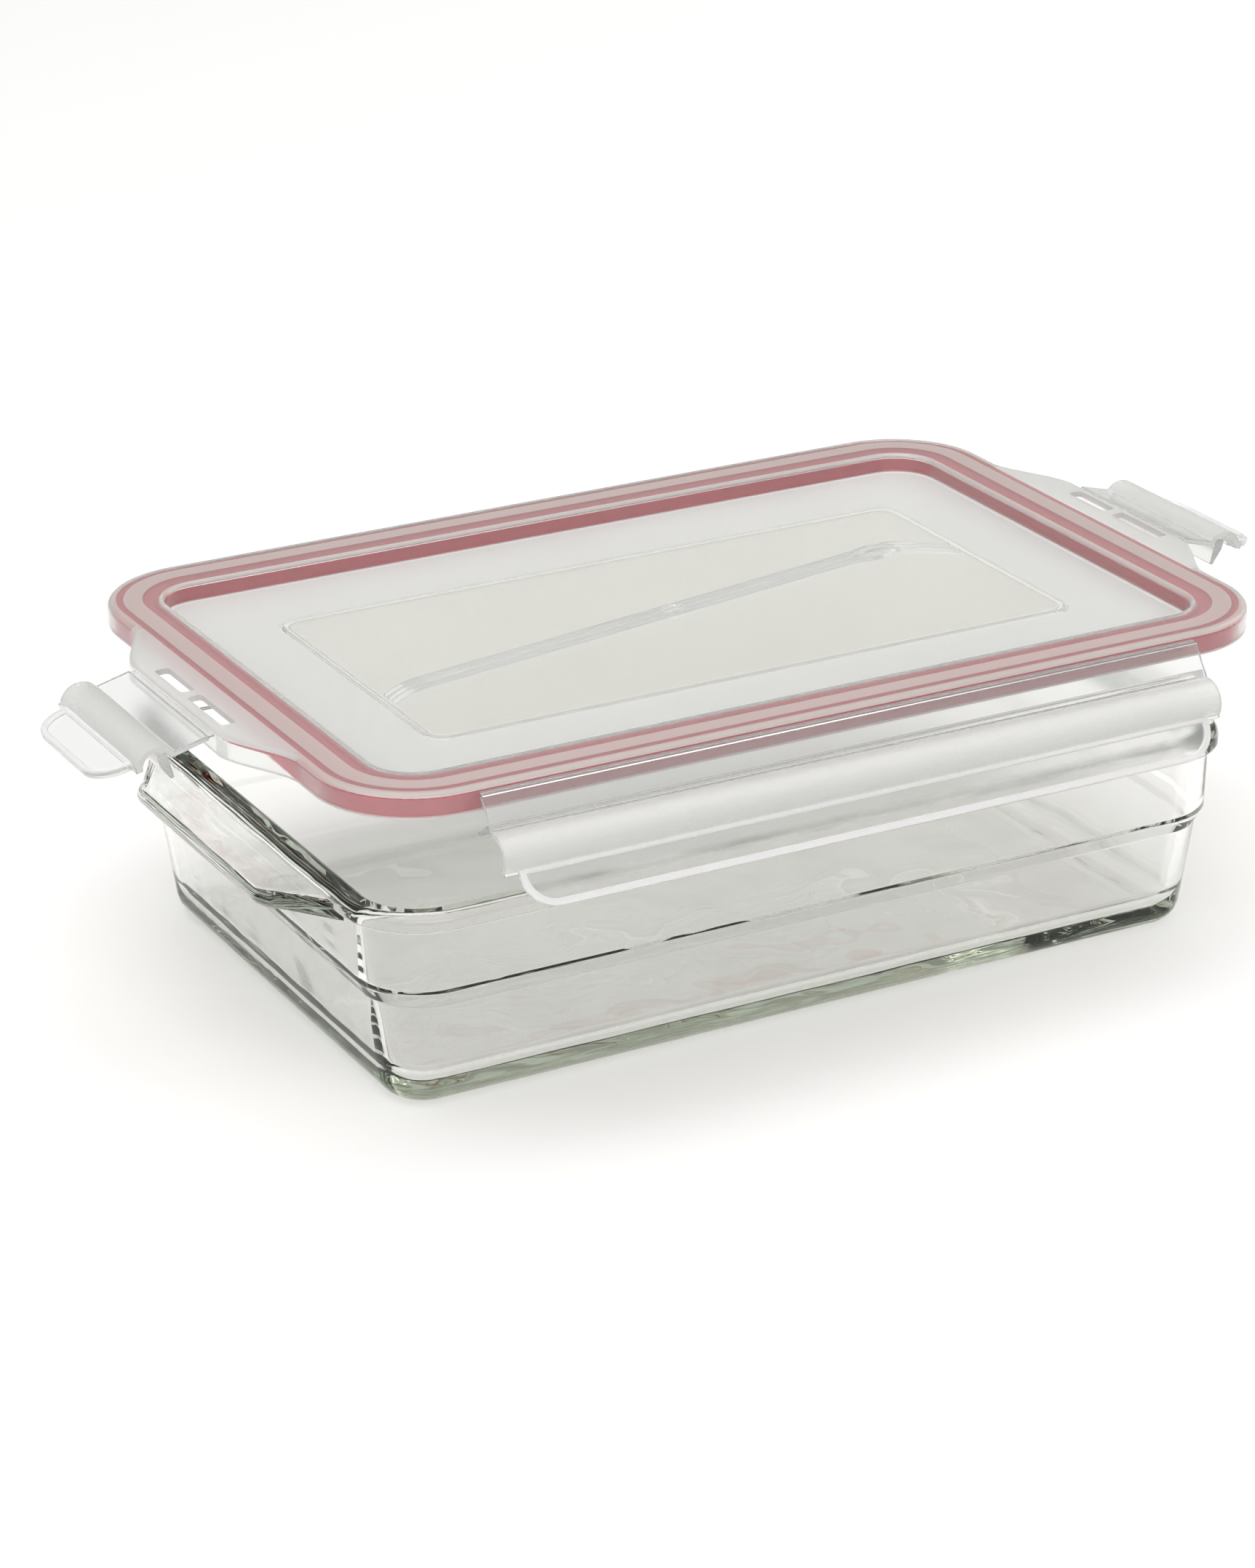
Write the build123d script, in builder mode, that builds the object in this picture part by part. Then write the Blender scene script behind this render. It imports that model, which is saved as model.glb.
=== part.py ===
from build123d import *
import math
import os

# Snap lid food container: a stepped glass baking dish, a recessed plastic lid with four hinged
# snap latches, and a silicone gasket in the lid's rim channel. Millimetres, +Z up, origin on the
# table under the middle of the dish. The lid is drawn lifted off, with its latches open.

# Glass dish
opening_length = 280.0      # rim opening, along X
opening_width = 177.0       # rim opening, along Y
opening_corner = 17.0
dish_height = 65.0
glass_wall = 4.6
floor_thickness = 6.0
rim_width = 7.2             # from the opening out to the face of the rim bead
bead_height = 5.6
bead_proud = 3.0            # how far the bead stands out from the wall below it
upper_draft = 1.5           # degrees
ledge_top = 39.0            # the wall steps in below this height
ledge_height = 5.0
ledge_width = 2.6
lower_draft = 8.0           # degrees
foot_round = 8.0
cavity_round = 10.0
ledge_round = 1.6
bead_round = 2.2
bead_lower_round = 0.6
rim_inner_round = 1.8

# Glass lugs at the two ends
lug_reach = 14.4            # past the bead
lug_side_gap = 5.5          # lug root to the start of the rim's corner
lug_taper = 17.0            # each side, root to tip
lug_tip_corner = 12.0
lug_thickness = 5.0
lug_sink = 3.8              # the lug's top lies this far below the rim
lug_droop = 1.8
lug_round = 1.9

# Lid
plastic_wall = 1.8
seal_gap = 0.3              # gasket to glass with the lid down
plug_gap = 1.6              # plug wall to the rim opening
skirt_height = 7.5
panel_recess = 6.2
lid_edge_round = 1.0
field_end_margin = 31.0     # raised field to the rim opening
field_side_margin = 34.5
field_corner = 7.0
field_rise = 1.0
wing_side_gap = 12.5        # wing root to the start of the rim's corner
wing_tip_margin = 3.0       # wing tip past the latch, each side
wing_gap = 2.0              # lug tip to the wing's inner face
wing_slot_width = 4.6
wing_slot_lengths = (25.0, 20.0)
wing_slot_rib = 4.0
wing_slot_inset = 5.4       # slot line to the wing's outer face

# Embossed stem and gate mark on the raised field
stem_left = ((2, -21), (12, -15), (31, -11))    # in from the field's left end, and across
stem_right = ((31, 17), (17, 17), (4, 8))       # in from the field's right end, and across
stem_width = 9.0
stem_bend = 15.0
stem_ridge_width = 1.0
stem_ridge_pitch = 2.8
stem_collar_inset = 29.0    # from the field's right end
stem_collar_size = (6.0, 6.8)
emboss = 0.4
gate_radius = 3.5

# Gasket
web_height = 1.3
web_drop = 1.3              # air gap over the web
inner_lip = 1.0
outer_lip = 2.1
lip_depth = 5.9
gasket_fit = 0.05
gasket_side_gap = 2.85      # rim bead to the outer lip

# Snap latches and their living hinges
hinge_drop = 1.9            # hinge axis below the lid's top face
hinge_radius = 0.6
hinge_web = 0.6
hinge_fit = 0.1
latch_gap = 0.3             # closed latch to the skirt
latch_wall = 1.6
latch_length = 35.0
hump_start = 11.5
hump_length = 12.0
hump_height = 3.8
tooth_thickness = 3.2
tooth_nose = 1.2
tooth_catch = 1.9           # how far the tooth reaches under the glass
tooth_gap = 0.3
tab_inset = 4.5             # the tab is narrower than the hump, each side
tab_corner = 10.0
tab_bead_width = 2.0
tab_bead_height = 2.6
side_latch_margin = 4.0     # side latch to the start of the rim's corner
end_latch_span = 58.0

# Rest pose
lift = 35.0                 # lid above its seat
side_open = 35.0            # degrees from closed
end_open = 75.0

# Heights with the lid seated
gasket_seat = dish_height + seal_gap
ceiling = gasket_seat + web_height + web_drop
lid_top = ceiling + plastic_wall
skirt_bottom = lid_top - skirt_height
panel_top = lid_top - panel_recess
hinge_height = lid_top - hinge_drop
bead_underside = dish_height - bead_height

# Outlines are the rim opening grown by these amounts
plug_face = -plug_gap
skirt_inside = rim_width + gasket_side_gap + outer_lip + gasket_fit
skirt_face = skirt_inside + plastic_wall
skirt_length = opening_length + 2 * skirt_face
skirt_width = opening_width + 2 * skirt_face

# Straight runs between the corners set the widths of the lugs, wings and latches
side_run = opening_length - 2 * opening_corner
end_run = opening_width - 2 * opening_corner
side_latch_span = side_run - 2 * side_latch_margin
lug_root_width = end_run - 2 * lug_side_gap
lug_tip_width = lug_root_width - 2 * lug_taper
lug_tip = opening_length / 2 + rim_width + lug_reach
wing_root_width = end_run - 2 * wing_side_gap
wing_tip_width = end_latch_span + 2 * wing_tip_margin
wing_tip = lug_tip + wing_gap + plastic_wall
field_length = opening_length - 2 * field_end_margin
field_width = opening_width - 2 * field_side_margin
lug_tip_underside = dish_height - lug_sink - lug_droop - lug_thickness

os.makedirs("parts", exist_ok=True)


def rim_outline(grow):
    """The rim opening's plan, grown evenly."""
    with BuildSketch() as outline:
        RectangleRounded(
            opening_length + 2 * grow, opening_width + 2 * grow, opening_corner + grow
        )
    return outline.sketch


def rim_block(bottom, top, grow_bottom, grow_top):
    """A block between two heights whose plan is the rim opening grown evenly, with drafted sides."""
    draft = math.degrees(math.atan((grow_top - grow_bottom) / (top - bottom)))
    with BuildPart() as block:
        with BuildSketch(Plane.XY.offset(bottom)):
            add(rim_outline(grow_bottom))
        extrude(amount=top - bottom, taper=-draft)
    return block.part


def rim_ring(bottom, top, grow_inside, grow_outside):
    """A straight-sided ring that follows the rim."""
    with BuildPart() as ring:
        with BuildSketch(Plane.XY.offset(bottom)):
            add(rim_outline(grow_outside))
            add(rim_outline(grow_inside), mode=Mode.SUBTRACT)
        extrude(amount=top - bottom)
    return ring.part


def stack(levels):
    """Blocks that join each (height, growth) level to the next one up."""
    return [rim_block(low[0], high[0], low[1], high[1]) for low, high in zip(levels, levels[1:])]


def edges_at(builder, height):
    """The edges that lie level at a height."""
    return builder.edges().filter_by_position(Axis.Z, height - 0.01, height + 0.01)


def export(builder, name):
    builder.part.label = name
    export_step(builder.part, f"parts/{name}.step")


# Glass dish
wall_top = rim_width - bead_proud
wall_at_ledge = wall_top - (bead_underside - ledge_top) * math.tan(math.radians(upper_draft))
ledge_bottom = ledge_top - ledge_height
wall_under_ledge = wall_at_ledge - ledge_width
foot = wall_under_ledge - ledge_bottom * math.tan(math.radians(lower_draft))
cavity_at_ledge = wall_at_ledge - glass_wall
cavity_under_ledge = wall_under_ledge - glass_wall
cavity_floor = cavity_under_ledge - (ledge_bottom - floor_thickness) * math.tan(
    math.radians(lower_draft)
)

outer_blocks = stack([(0, foot), (ledge_bottom, wall_under_ledge), (ledge_top, wall_at_ledge)])
outer_blocks += stack([(ledge_top, wall_at_ledge), (bead_underside, wall_top)])
outer_blocks += stack([(bead_underside, rim_width), (dish_height, rim_width)])
cavity_blocks = stack(
    [
        (floor_thickness, cavity_floor),
        (ledge_bottom, cavity_under_ledge),
        (ledge_top, cavity_at_ledge),
        (dish_height, 0.0),
    ]
)

# The lug is a drooping lip, cut from its side profile by its plan
lug_root = opening_length / 2 + wall_at_ledge - glass_wall / 2
lug_root_top = dish_height - lug_sink
with BuildPart() as lug:
    with BuildSketch(Plane.XZ):
        with BuildLine():
            Polyline(
                (lug_root, lug_root_top),
                (lug_tip, lug_root_top - lug_droop),
                (lug_tip, lug_tip_underside),
                (lug_root, lug_tip_underside + lug_droop / 2),
                close=True,
            )
        make_face()
    extrude(amount=lug_root_width / 2, both=True)
    with BuildSketch(Plane.XY.offset(lug_tip_underside)) as lug_plan:
        with BuildLine():
            Polyline(
                (lug_root, -lug_root_width / 2),
                (opening_length / 2 + rim_width, -lug_root_width / 2),
                (lug_tip, -lug_tip_width / 2),
                (lug_tip, lug_tip_width / 2),
                (opening_length / 2 + rim_width, lug_root_width / 2),
                (lug_root, lug_root_width / 2),
                close=True,
            )
        make_face()
        fillet(lug_plan.vertices().group_by(Axis.X)[-1], lug_tip_corner)
    extrude(amount=lug_thickness + lug_droop, mode=Mode.INTERSECT)
    fillet(lug.faces().sort_by(Axis.X)[-1].edges().filter_by(Axis.Y), lug_round)

with BuildPart() as dish_body:
    for block in outer_blocks:
        add(block)
    fillet(edges_at(dish_body, 0), foot_round)
    fillet(edges_at(dish_body, ledge_bottom), ledge_round)
    fillet(edges_at(dish_body, ledge_top), ledge_round)
    fillet(edges_at(dish_body, bead_underside).sort_by(SortBy.LENGTH)[-8:], bead_lower_round)
    fillet(edges_at(dish_body, dish_height), bead_round)

with BuildPart() as dish_cavity:
    for block in cavity_blocks:
        add(block)
    fillet(edges_at(dish_cavity, floor_thickness), cavity_round)
    fillet(edges_at(dish_cavity, ledge_bottom), ledge_round)
    fillet(edges_at(dish_cavity, ledge_top), ledge_round)

with BuildPart() as glass_dish:
    add(dish_body.part)
    add(lug.part)
    add(mirror(lug.part, about=Plane.YZ, mode=Mode.PRIVATE))
    add(dish_cavity.part, mode=Mode.SUBTRACT)
    rim_edges = edges_at(glass_dish, dish_height)
    fillet(rim_edges.group_by(SortBy.DISTANCE)[0], rim_inner_round)
export(glass_dish, "glass_dish")

# Lid
lid_level = Plane.XY.offset(lift)


def wing_plan(shrink):
    """Both wings' plan, drawn in by the wall thickness for the inside."""
    half_root = wing_root_width / 2 - shrink
    half_tip = wing_tip_width / 2 - shrink
    start = skirt_length / 2 - opening_corner
    with BuildSketch() as plan:
        with BuildLine():
            Polyline(
                (start, -half_root),
                (skirt_length / 2 - shrink, -half_root),
                (wing_tip - shrink, -half_tip),
                (wing_tip - shrink, half_tip),
                (skirt_length / 2 - shrink, half_root),
                (start, half_root),
                close=True,
            )
        make_face()
        mirror(about=Plane.YZ)
    return plan.sketch


def lid_plan(grow, shrink):
    """The lid's plan: the grown rim opening and the two wings."""
    wings = wing_plan(shrink)
    with BuildSketch() as plan:
        RectangleRounded(
            opening_length + 2 * grow, opening_width + 2 * grow, opening_corner + grow
        )
        add(wings)
    return plan.sketch


outer_plan = lid_plan(skirt_face, 0.0)
inner_plan = lid_plan(skirt_inside, plastic_wall)
panel_block = rim_block(panel_top - plastic_wall, lid_top, plug_face, plug_face)
recess_block = rim_block(
    panel_top, lid_top, plug_face - plastic_wall, plug_face - plastic_wall
)
field_underside = panel_top - plastic_wall

with BuildPart() as lid_seated:
    with BuildSketch(Plane.XY.offset(skirt_bottom)):
        add(outer_plan)
    extrude(amount=skirt_height)
    fillet(lid_seated.edges().group_by(Axis.Z)[-1], lid_edge_round)
    with BuildSketch(Plane.XY.offset(skirt_bottom)):
        add(inner_plan)
    extrude(amount=ceiling - skirt_bottom, mode=Mode.SUBTRACT)
    add(panel_block)
    add(recess_block, mode=Mode.SUBTRACT)
    # Raised field with the same wall, so its underside is hollow
    with BuildSketch(Plane.XY.offset(panel_top)):
        RectangleRounded(field_length, field_width, field_corner)
    extrude(amount=field_rise)
    with BuildSketch(Plane.XY.offset(field_underside)):
        RectangleRounded(
            field_length - 2 * plastic_wall,
            field_width - 2 * plastic_wall,
            field_corner - plastic_wall,
        )
    extrude(amount=field_rise, mode=Mode.SUBTRACT)
    # Two slots in each wing beside its hinge line, one each side of a rib
    slot_line = wing_tip - wing_slot_inset
    for side in (-1, 1):
        for end, slot_length in zip((-1, 1), wing_slot_lengths):
            middle = end * (wing_slot_rib + slot_length) / 2
            with BuildSketch(Plane.XY.offset(ceiling)):
                with Locations((side * slot_line, middle)):
                    RectangleRounded(wing_slot_width, slot_length, wing_slot_width / 4)
            extrude(amount=plastic_wall, mode=Mode.SUBTRACT)

# A ridged stem, its collar and the gate mark stand on the raised field
field_end = field_length / 2
stem_path = [(inset - field_end, across) for inset, across in stem_left]
stem_path += [(field_end - inset, across) for inset, across in stem_right]
field_top = Plane.XY.offset(panel_top + field_rise)
with BuildPart() as stem:
    with BuildSketch(field_top):
        with BuildLine():
            FilletPolyline(*stem_path, radius=stem_bend)
        trace(line_width=stem_width)
        with Locations((field_end - stem_collar_inset, stem_right[0][1])):
            Ellipse(*stem_collar_size)
        Circle(gate_radius)
    extrude(amount=emboss)
    with BuildSketch(field_top):
        for step in (-1, 0, 1):
            shift = step * stem_ridge_pitch
            with BuildLine():
                FilletPolyline(*[(x, y + shift) for x, y in stem_path], radius=stem_bend)
            trace(line_width=stem_ridge_width)
        Circle(gate_radius)
    extrude(amount=2 * emboss)

with BuildPart() as lid_shell:
    with Locations(lid_level):
        add(lid_seated.part)
        add(stem.part)
export(lid_shell, "lid_shell")

# Gasket: two lips up to the channel's ceiling, joined by a web that lies on the glass rim
gasket_inside = plug_face + gasket_fit
gasket_outside = skirt_inside - gasket_fit
gasket_bottom = ceiling - lip_depth
gasket_rings = [
    rim_ring(gasket_bottom, ceiling, gasket_inside, gasket_inside + inner_lip),
    rim_ring(gasket_bottom, ceiling, gasket_outside - outer_lip, gasket_outside),
    rim_ring(gasket_seat, gasket_seat + web_height, gasket_inside, gasket_outside),
]
with BuildPart() as gasket:
    with Locations(lid_level):
        for ring in gasket_rings:
            add(ring)
export(gasket, "gasket")

# Latches and living hinges
hinge_out = latch_gap + latch_wall / 2      # hinge axis outside the skirt or wing face


def latch_plane(outward, face, angle):
    """Frame on a hinge axis: X down the latch, Z out of its outer face, opened by angle."""
    turn = math.radians(angle)
    up = Vector(0, 0, 1)
    along = outward * math.sin(turn) - up * math.cos(turn)
    out = outward * math.cos(turn) + up * math.sin(turn)
    axis_point = outward * (face + hinge_out) + up * (hinge_height + lift)
    return Plane(origin=axis_point, x_dir=along, z_dir=out)


def tab_outline(middle, length, span, corner):
    """A lift tab's plan in the hinge frame, with its two free corners rounded."""
    with BuildSketch() as outline:
        with Locations((middle, 0)):
            Rectangle(length, span)
        fillet(outline.vertices().group_by(Axis.X)[-1], corner)
    return outline.sketch


def snap_latch(seat, span, tooth_at, tooth_reach):
    """A latch in its hinge frame: flat strip, hollow hump, hook tooth and a beaded lift tab."""
    half_wall = latch_wall / 2
    hump_end = hump_start + hump_length
    hump_middle = hump_start + hump_length / 2
    # The tooth is rooted in the strip, or half a wall up into the shell where it meets the hollow hump
    hollow_reach = hump_length / 2 - latch_wall
    hollow_radius = (hollow_reach**2 + hump_height**2) / (2 * hump_height)
    hollow_centre = hump_height - half_wall - hollow_radius
    along = min(abs(tooth_at - hump_middle), hollow_reach)
    tooth_root = hollow_centre + math.sqrt(hollow_radius**2 - along**2) + half_wall
    section = Plane(origin=seat.origin, x_dir=seat.x_dir, z_dir=seat.x_dir.cross(seat.z_dir))
    tab_span = span - 2 * tab_inset
    tab_length = latch_length - hump_end
    tab_middle = (hump_end + latch_length) / 2
    with BuildPart() as latch:
        with BuildSketch(section):
            with BuildLine():
                Polyline(
                    (hump_start, half_wall),
                    (hinge_radius + hinge_fit, half_wall),
                    (hinge_radius + hinge_fit, -half_wall),
                    (hump_start + latch_wall, -half_wall),
                )
                ThreePointArc(
                    (hump_start + latch_wall, -half_wall),
                    (hump_middle, hump_height + half_wall - latch_wall),
                    (hump_end - latch_wall, -half_wall),
                )
                Polyline(
                    (hump_end - latch_wall, -half_wall),
                    (hump_end + latch_wall, -half_wall),
                    (hump_end + latch_wall, half_wall),
                    (hump_end, half_wall),
                )
                ThreePointArc(
                    (hump_end, half_wall),
                    (hump_middle, hump_height + half_wall),
                    (hump_start, half_wall),
                )
            make_face()
            with BuildLine():
                Polyline(
                    (tooth_at, tooth_root),
                    (tooth_at, -tooth_reach),
                    (tooth_at + tooth_nose, -tooth_reach),
                    (tooth_at + tooth_thickness, -half_wall),
                    (tooth_at + tooth_thickness, tooth_root),
                    close=True,
                )
            make_face()
        extrude(amount=span / 2, both=True)
        with BuildSketch(seat):
            add(tab_outline(tab_middle, tab_length, tab_span, tab_corner))
        extrude(amount=half_wall, both=True)
        with BuildSketch(seat):
            add(tab_outline(tab_middle, tab_length, tab_span, tab_corner))
            add(
                tab_outline(
                    tab_middle - tab_bead_width,
                    tab_length,
                    tab_span - 2 * tab_bead_width,
                    tab_corner - tab_bead_width,
                ),
                mode=Mode.SUBTRACT,
            )
        extrude(amount=tab_bead_height / 2, both=True)
    return latch


def living_hinge(outward, face, span):
    """The thin web beside a latch: a flat strip from the lid's face with a round edge on the axis."""
    with BuildPart() as hinge:
        section = Plane(
            origin=outward * face + Vector(0, 0, hinge_height + lift),
            x_dir=outward,
            z_dir=outward.cross(Vector(0, 0, 1)),
        )
        with BuildSketch(section):
            with Locations((hinge_out / 2, 0)):
                Rectangle(hinge_out, hinge_web)
            with Locations((hinge_out, 0)):
                Circle(hinge_radius)
        extrude(amount=span / 2, both=True)
    return hinge


# The side latches hook under the rim bead, the end latches under the lugs
side_face = skirt_width / 2
side_tooth_at = hinge_height - bead_underside + tooth_gap
side_reach = side_face + hinge_out - (opening_width / 2 + rim_width) + tooth_catch
end_tooth_at = hinge_height - lug_tip_underside + tooth_gap
end_reach = wing_tip + hinge_out - lug_tip + tooth_catch

latches = {
    "front": (Vector(0, -1, 0), side_face, side_open, side_latch_span, side_tooth_at, side_reach),
    "back": (Vector(0, 1, 0), side_face, side_open, side_latch_span, side_tooth_at, side_reach),
    "left": (Vector(-1, 0, 0), wing_tip, end_open, end_latch_span, end_tooth_at, end_reach),
    "right": (Vector(1, 0, 0), wing_tip, end_open, end_latch_span, end_tooth_at, end_reach),
}
for place, (outward, face, angle, span, tooth_at, reach) in latches.items():
    snap = snap_latch(latch_plane(outward, face, angle), span, tooth_at, reach)
    export(snap, f"{place}_latch")
    export(living_hinge(outward, face, span), f"{place}_hinge_web")
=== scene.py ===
import bpy
import math
from mathutils import Matrix, Vector


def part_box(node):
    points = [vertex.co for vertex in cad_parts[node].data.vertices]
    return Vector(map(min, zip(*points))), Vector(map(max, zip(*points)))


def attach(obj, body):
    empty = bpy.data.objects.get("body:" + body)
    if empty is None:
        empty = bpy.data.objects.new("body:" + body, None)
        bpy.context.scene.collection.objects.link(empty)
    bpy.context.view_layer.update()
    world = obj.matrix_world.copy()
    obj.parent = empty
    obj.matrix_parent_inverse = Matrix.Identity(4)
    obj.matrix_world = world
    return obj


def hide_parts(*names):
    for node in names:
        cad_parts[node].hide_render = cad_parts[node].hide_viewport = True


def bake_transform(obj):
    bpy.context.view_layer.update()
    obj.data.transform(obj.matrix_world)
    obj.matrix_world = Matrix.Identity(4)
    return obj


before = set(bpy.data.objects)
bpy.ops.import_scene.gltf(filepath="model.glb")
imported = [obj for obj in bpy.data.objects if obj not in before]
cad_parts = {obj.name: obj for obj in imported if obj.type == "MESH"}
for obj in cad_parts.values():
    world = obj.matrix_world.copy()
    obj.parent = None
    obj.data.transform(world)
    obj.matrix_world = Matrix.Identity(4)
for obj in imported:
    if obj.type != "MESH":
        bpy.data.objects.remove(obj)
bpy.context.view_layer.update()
mm = 0.001
print("frame loaded")

# at rest the lid hangs this far above its seat, where its top face is 69.7 mm up
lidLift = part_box("lid_shell")[1].z - 69.7 * mm
spinWay = -1   # the spin operator turns clockwise about a positive axis


def hexColour(text):
    # sRGB hex to the linear values the shaders want
    out = []
    for i in (1, 3, 5):
        c = int(text[i:i + 2], 16) / 255
        out.append(c / 12.92 if c <= 0.04045 else ((c + 0.055) / 1.055) ** 2.4)
    return (*out, 1.0)


def addNode(tree, kind, settings=None, links=None):
    # one node with its settings and what feeds it
    node = tree.nodes.new(kind)
    for key, value in (settings or {}).items():
        if isinstance(key, int) or key in node.inputs:
            node.inputs[key].default_value = value
        else:
            setattr(node, key, value)
    for socket, source in (links or {}).items():
        tree.links.new(source, node.inputs[socket])
    return node


def newMaterial(name):
    mat = bpy.data.materials.new(name)
    mat.use_nodes = True
    mat.node_tree.nodes.clear()
    return mat, mat.node_tree


def deselectAll():
    if bpy.context.object and bpy.context.object.mode != "OBJECT":
        bpy.ops.object.mode_set(mode="OBJECT")
    bpy.ops.object.select_all(action="DESELECT")


def makeActive(obj):
    deselectAll()
    obj.select_set(True)
    bpy.context.view_layer.objects.active = obj


def pick(obj, kind, test):
    # opens the piece in edit mode with only the points, edges or faces that pass the test selected
    makeActive(obj)
    bpy.context.tool_settings.mesh_select_mode = [kind == k for k in ("VERT", "EDGE", "FACE")]
    parts = {"VERT": obj.data.vertices, "EDGE": obj.data.edges, "FACE": obj.data.polygons}
    for items in parts.values():
        items.foreach_set("select", [False] * len(items))
    for item in parts[kind]:
        item.select = bool(test(item))
    bpy.ops.object.mode_set(mode="EDIT")


def objectMode():
    bpy.ops.object.mode_set(mode="OBJECT")


def applyModifier(obj, kind, **settings):
    makeActive(obj)
    mod = obj.modifiers.new(kind.lower(), kind)
    for key, value in settings.items():
        setattr(mod, key, value)
    bpy.ops.object.modifier_apply(modifier=mod.name)


def cleanNormals(obj):
    pick(obj, "VERT", lambda v: True)
    bpy.ops.mesh.remove_doubles(threshold=0.004 * mm)
    bpy.ops.mesh.normals_make_consistent(inside=False)
    objectMode()


def smoothShade(obj):
    makeActive(obj)
    bpy.ops.object.shade_smooth_by_angle(angle=math.radians(32))
    applyModifier(obj, "WEIGHTED_NORMAL", keep_sharp=True, weight=80)


def joinPieces(name, *objs):
    makeActive(objs[0])
    for obj in objs[1:]:
        obj.select_set(True)
    bpy.ops.object.join()
    objs[0].name = name
    return objs[0]


def cutWith(obj, cutter, operation):
    applyModifier(obj, "BOOLEAN", object=cutter, operation=operation, solver="EXACT")
    bpy.data.objects.remove(cutter, do_unlink=True)


def roundCorners(points, steps=5):
    # a section's corners turned into arcs: each point is across, height and radius
    out = []
    for i, (x, z, r) in enumerate(points):
        here = Vector((x, z))
        if r <= 0 or i in (0, len(points) - 1):
            out.append((x, z))
            continue
        before = (Vector(points[i - 1][:2]) - here).normalized()
        after = (Vector(points[i + 1][:2]) - here).normalized()
        half = before.angle(after) / 2
        reach = r / math.tan(half)
        centre = here + (before + after).normalized() * (r / math.sin(half))
        start, stop = here + before * reach - centre, here + after * reach - centre
        turn = start.angle_signed(stop)
        for k in range(steps + 1):
            a = -turn * k / steps
            c, s = math.cos(a), math.sin(a)
            out.append((centre.x + start.x * c - start.y * s, centre.y + start.x * s + start.y * c))
    return out


def sweepRing(name, section, size, turns, closed=False, endCuts=()):
    # takes a section round a rounded rectangle: the straight runs are extruded, the corners spun
    runX = (size["halfLength"] - size["corner"]) * mm
    runY = (size["halfWidth"] - size["corner"]) * mm
    bpy.ops.mesh.primitive_circle_add(vertices=len(section), radius=mm)
    obj = bpy.context.object
    obj.name = name
    for point, (grow, height) in zip(obj.data.vertices, section):
        point.co = (-runX, -(size["halfWidth"] + grow) * mm, height * mm)
    if not closed:
        pick(obj, "EDGE", lambda e: sorted(e.vertices) == [0, len(section) - 1])
        bpy.ops.mesh.delete(type="EDGE")
        objectMode()
    pick(obj, "EDGE", lambda e: True)
    # along the front, right end, back and left end, each with the corner after it
    sides = ((1, 0, 1, -1), (0, 1, 1, 1), (-1, 0, -1, 1), (0, -1, -1, -1))
    for side, (dx, dy, cx, cy) in enumerate(sides):
        run, cuts = (runY, endCuts) if side % 2 else (runX, ())
        stops = [-run, *[c * mm for c in cuts], run]
        for a, b in zip(stops, stops[1:]):
            step = (dx * (b - a), dy * (b - a), 0)
            bpy.ops.mesh.extrude_region_move(TRANSFORM_OT_translate={"value": step})
        middle = (cx * runX, cy * runY, 0)
        bpy.ops.mesh.spin(steps=turns, angle=spinWay * math.radians(90), center=middle, axis=(0, 0, 1))
    objectMode()
    cleanNormals(obj)
    return obj


def openEdges(obj, height):
    # marks the edges with one face only that lie at a height, ready to fill
    uses = {}
    for face in obj.data.polygons:
        for key in face.edge_keys:
            uses[key] = uses.get(key, 0) + 1
    points = obj.data.vertices
    pick(obj, "EDGE", lambda e: uses.get(e.key, 0) == 1 and all(
        abs(points[v].co.z - height * mm) < 0.02 * mm for v in e.vertices))


def fillAt(obj, height):
    openEdges(obj, height)
    bpy.ops.mesh.edge_face_add()
    objectMode()


# glass dish, sizes in mm; places across the wall are measured outwards from the rim opening
dish = {
    "halfLength": 140.0, "halfWidth": 88.5, "corner": 17.0, "cornerSteps": 20,   # the rim opening
    "height": 65.0, "floor": 6.0, "rimWidth": 7.2, "lipRound": 1.8, "beadRound": 3.0,
    "beadUnder": 59.4, "underRound": 0.6, "wallTop": 4.2, "wallAtLug": 4.09,
    "ledgeTop": 39.0, "wallAtLedge": 3.67, "ledgeBottom": 34.0, "wallUnderLedge": 1.07, "ledgeRound": 1.6,
    "foot": -3.71, "footRound": 8.0, "glassWall": 4.6,
    "cavityFloor": -7.47, "cavityRound": 9.5,
    "lugTop": 61.2, "lugUnder": 55.3, "lugReach": 14.4, "lugDroop": 1.8, "lugThick": 5.0,
    "lugRoot": 66.0, "lugTip": 49.0, "lugFan": 8.0, "lugFanSteps": 5, "lugCorner": 12.0,
    "lugCornerTurn": 50.0,   # degrees
}


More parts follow.
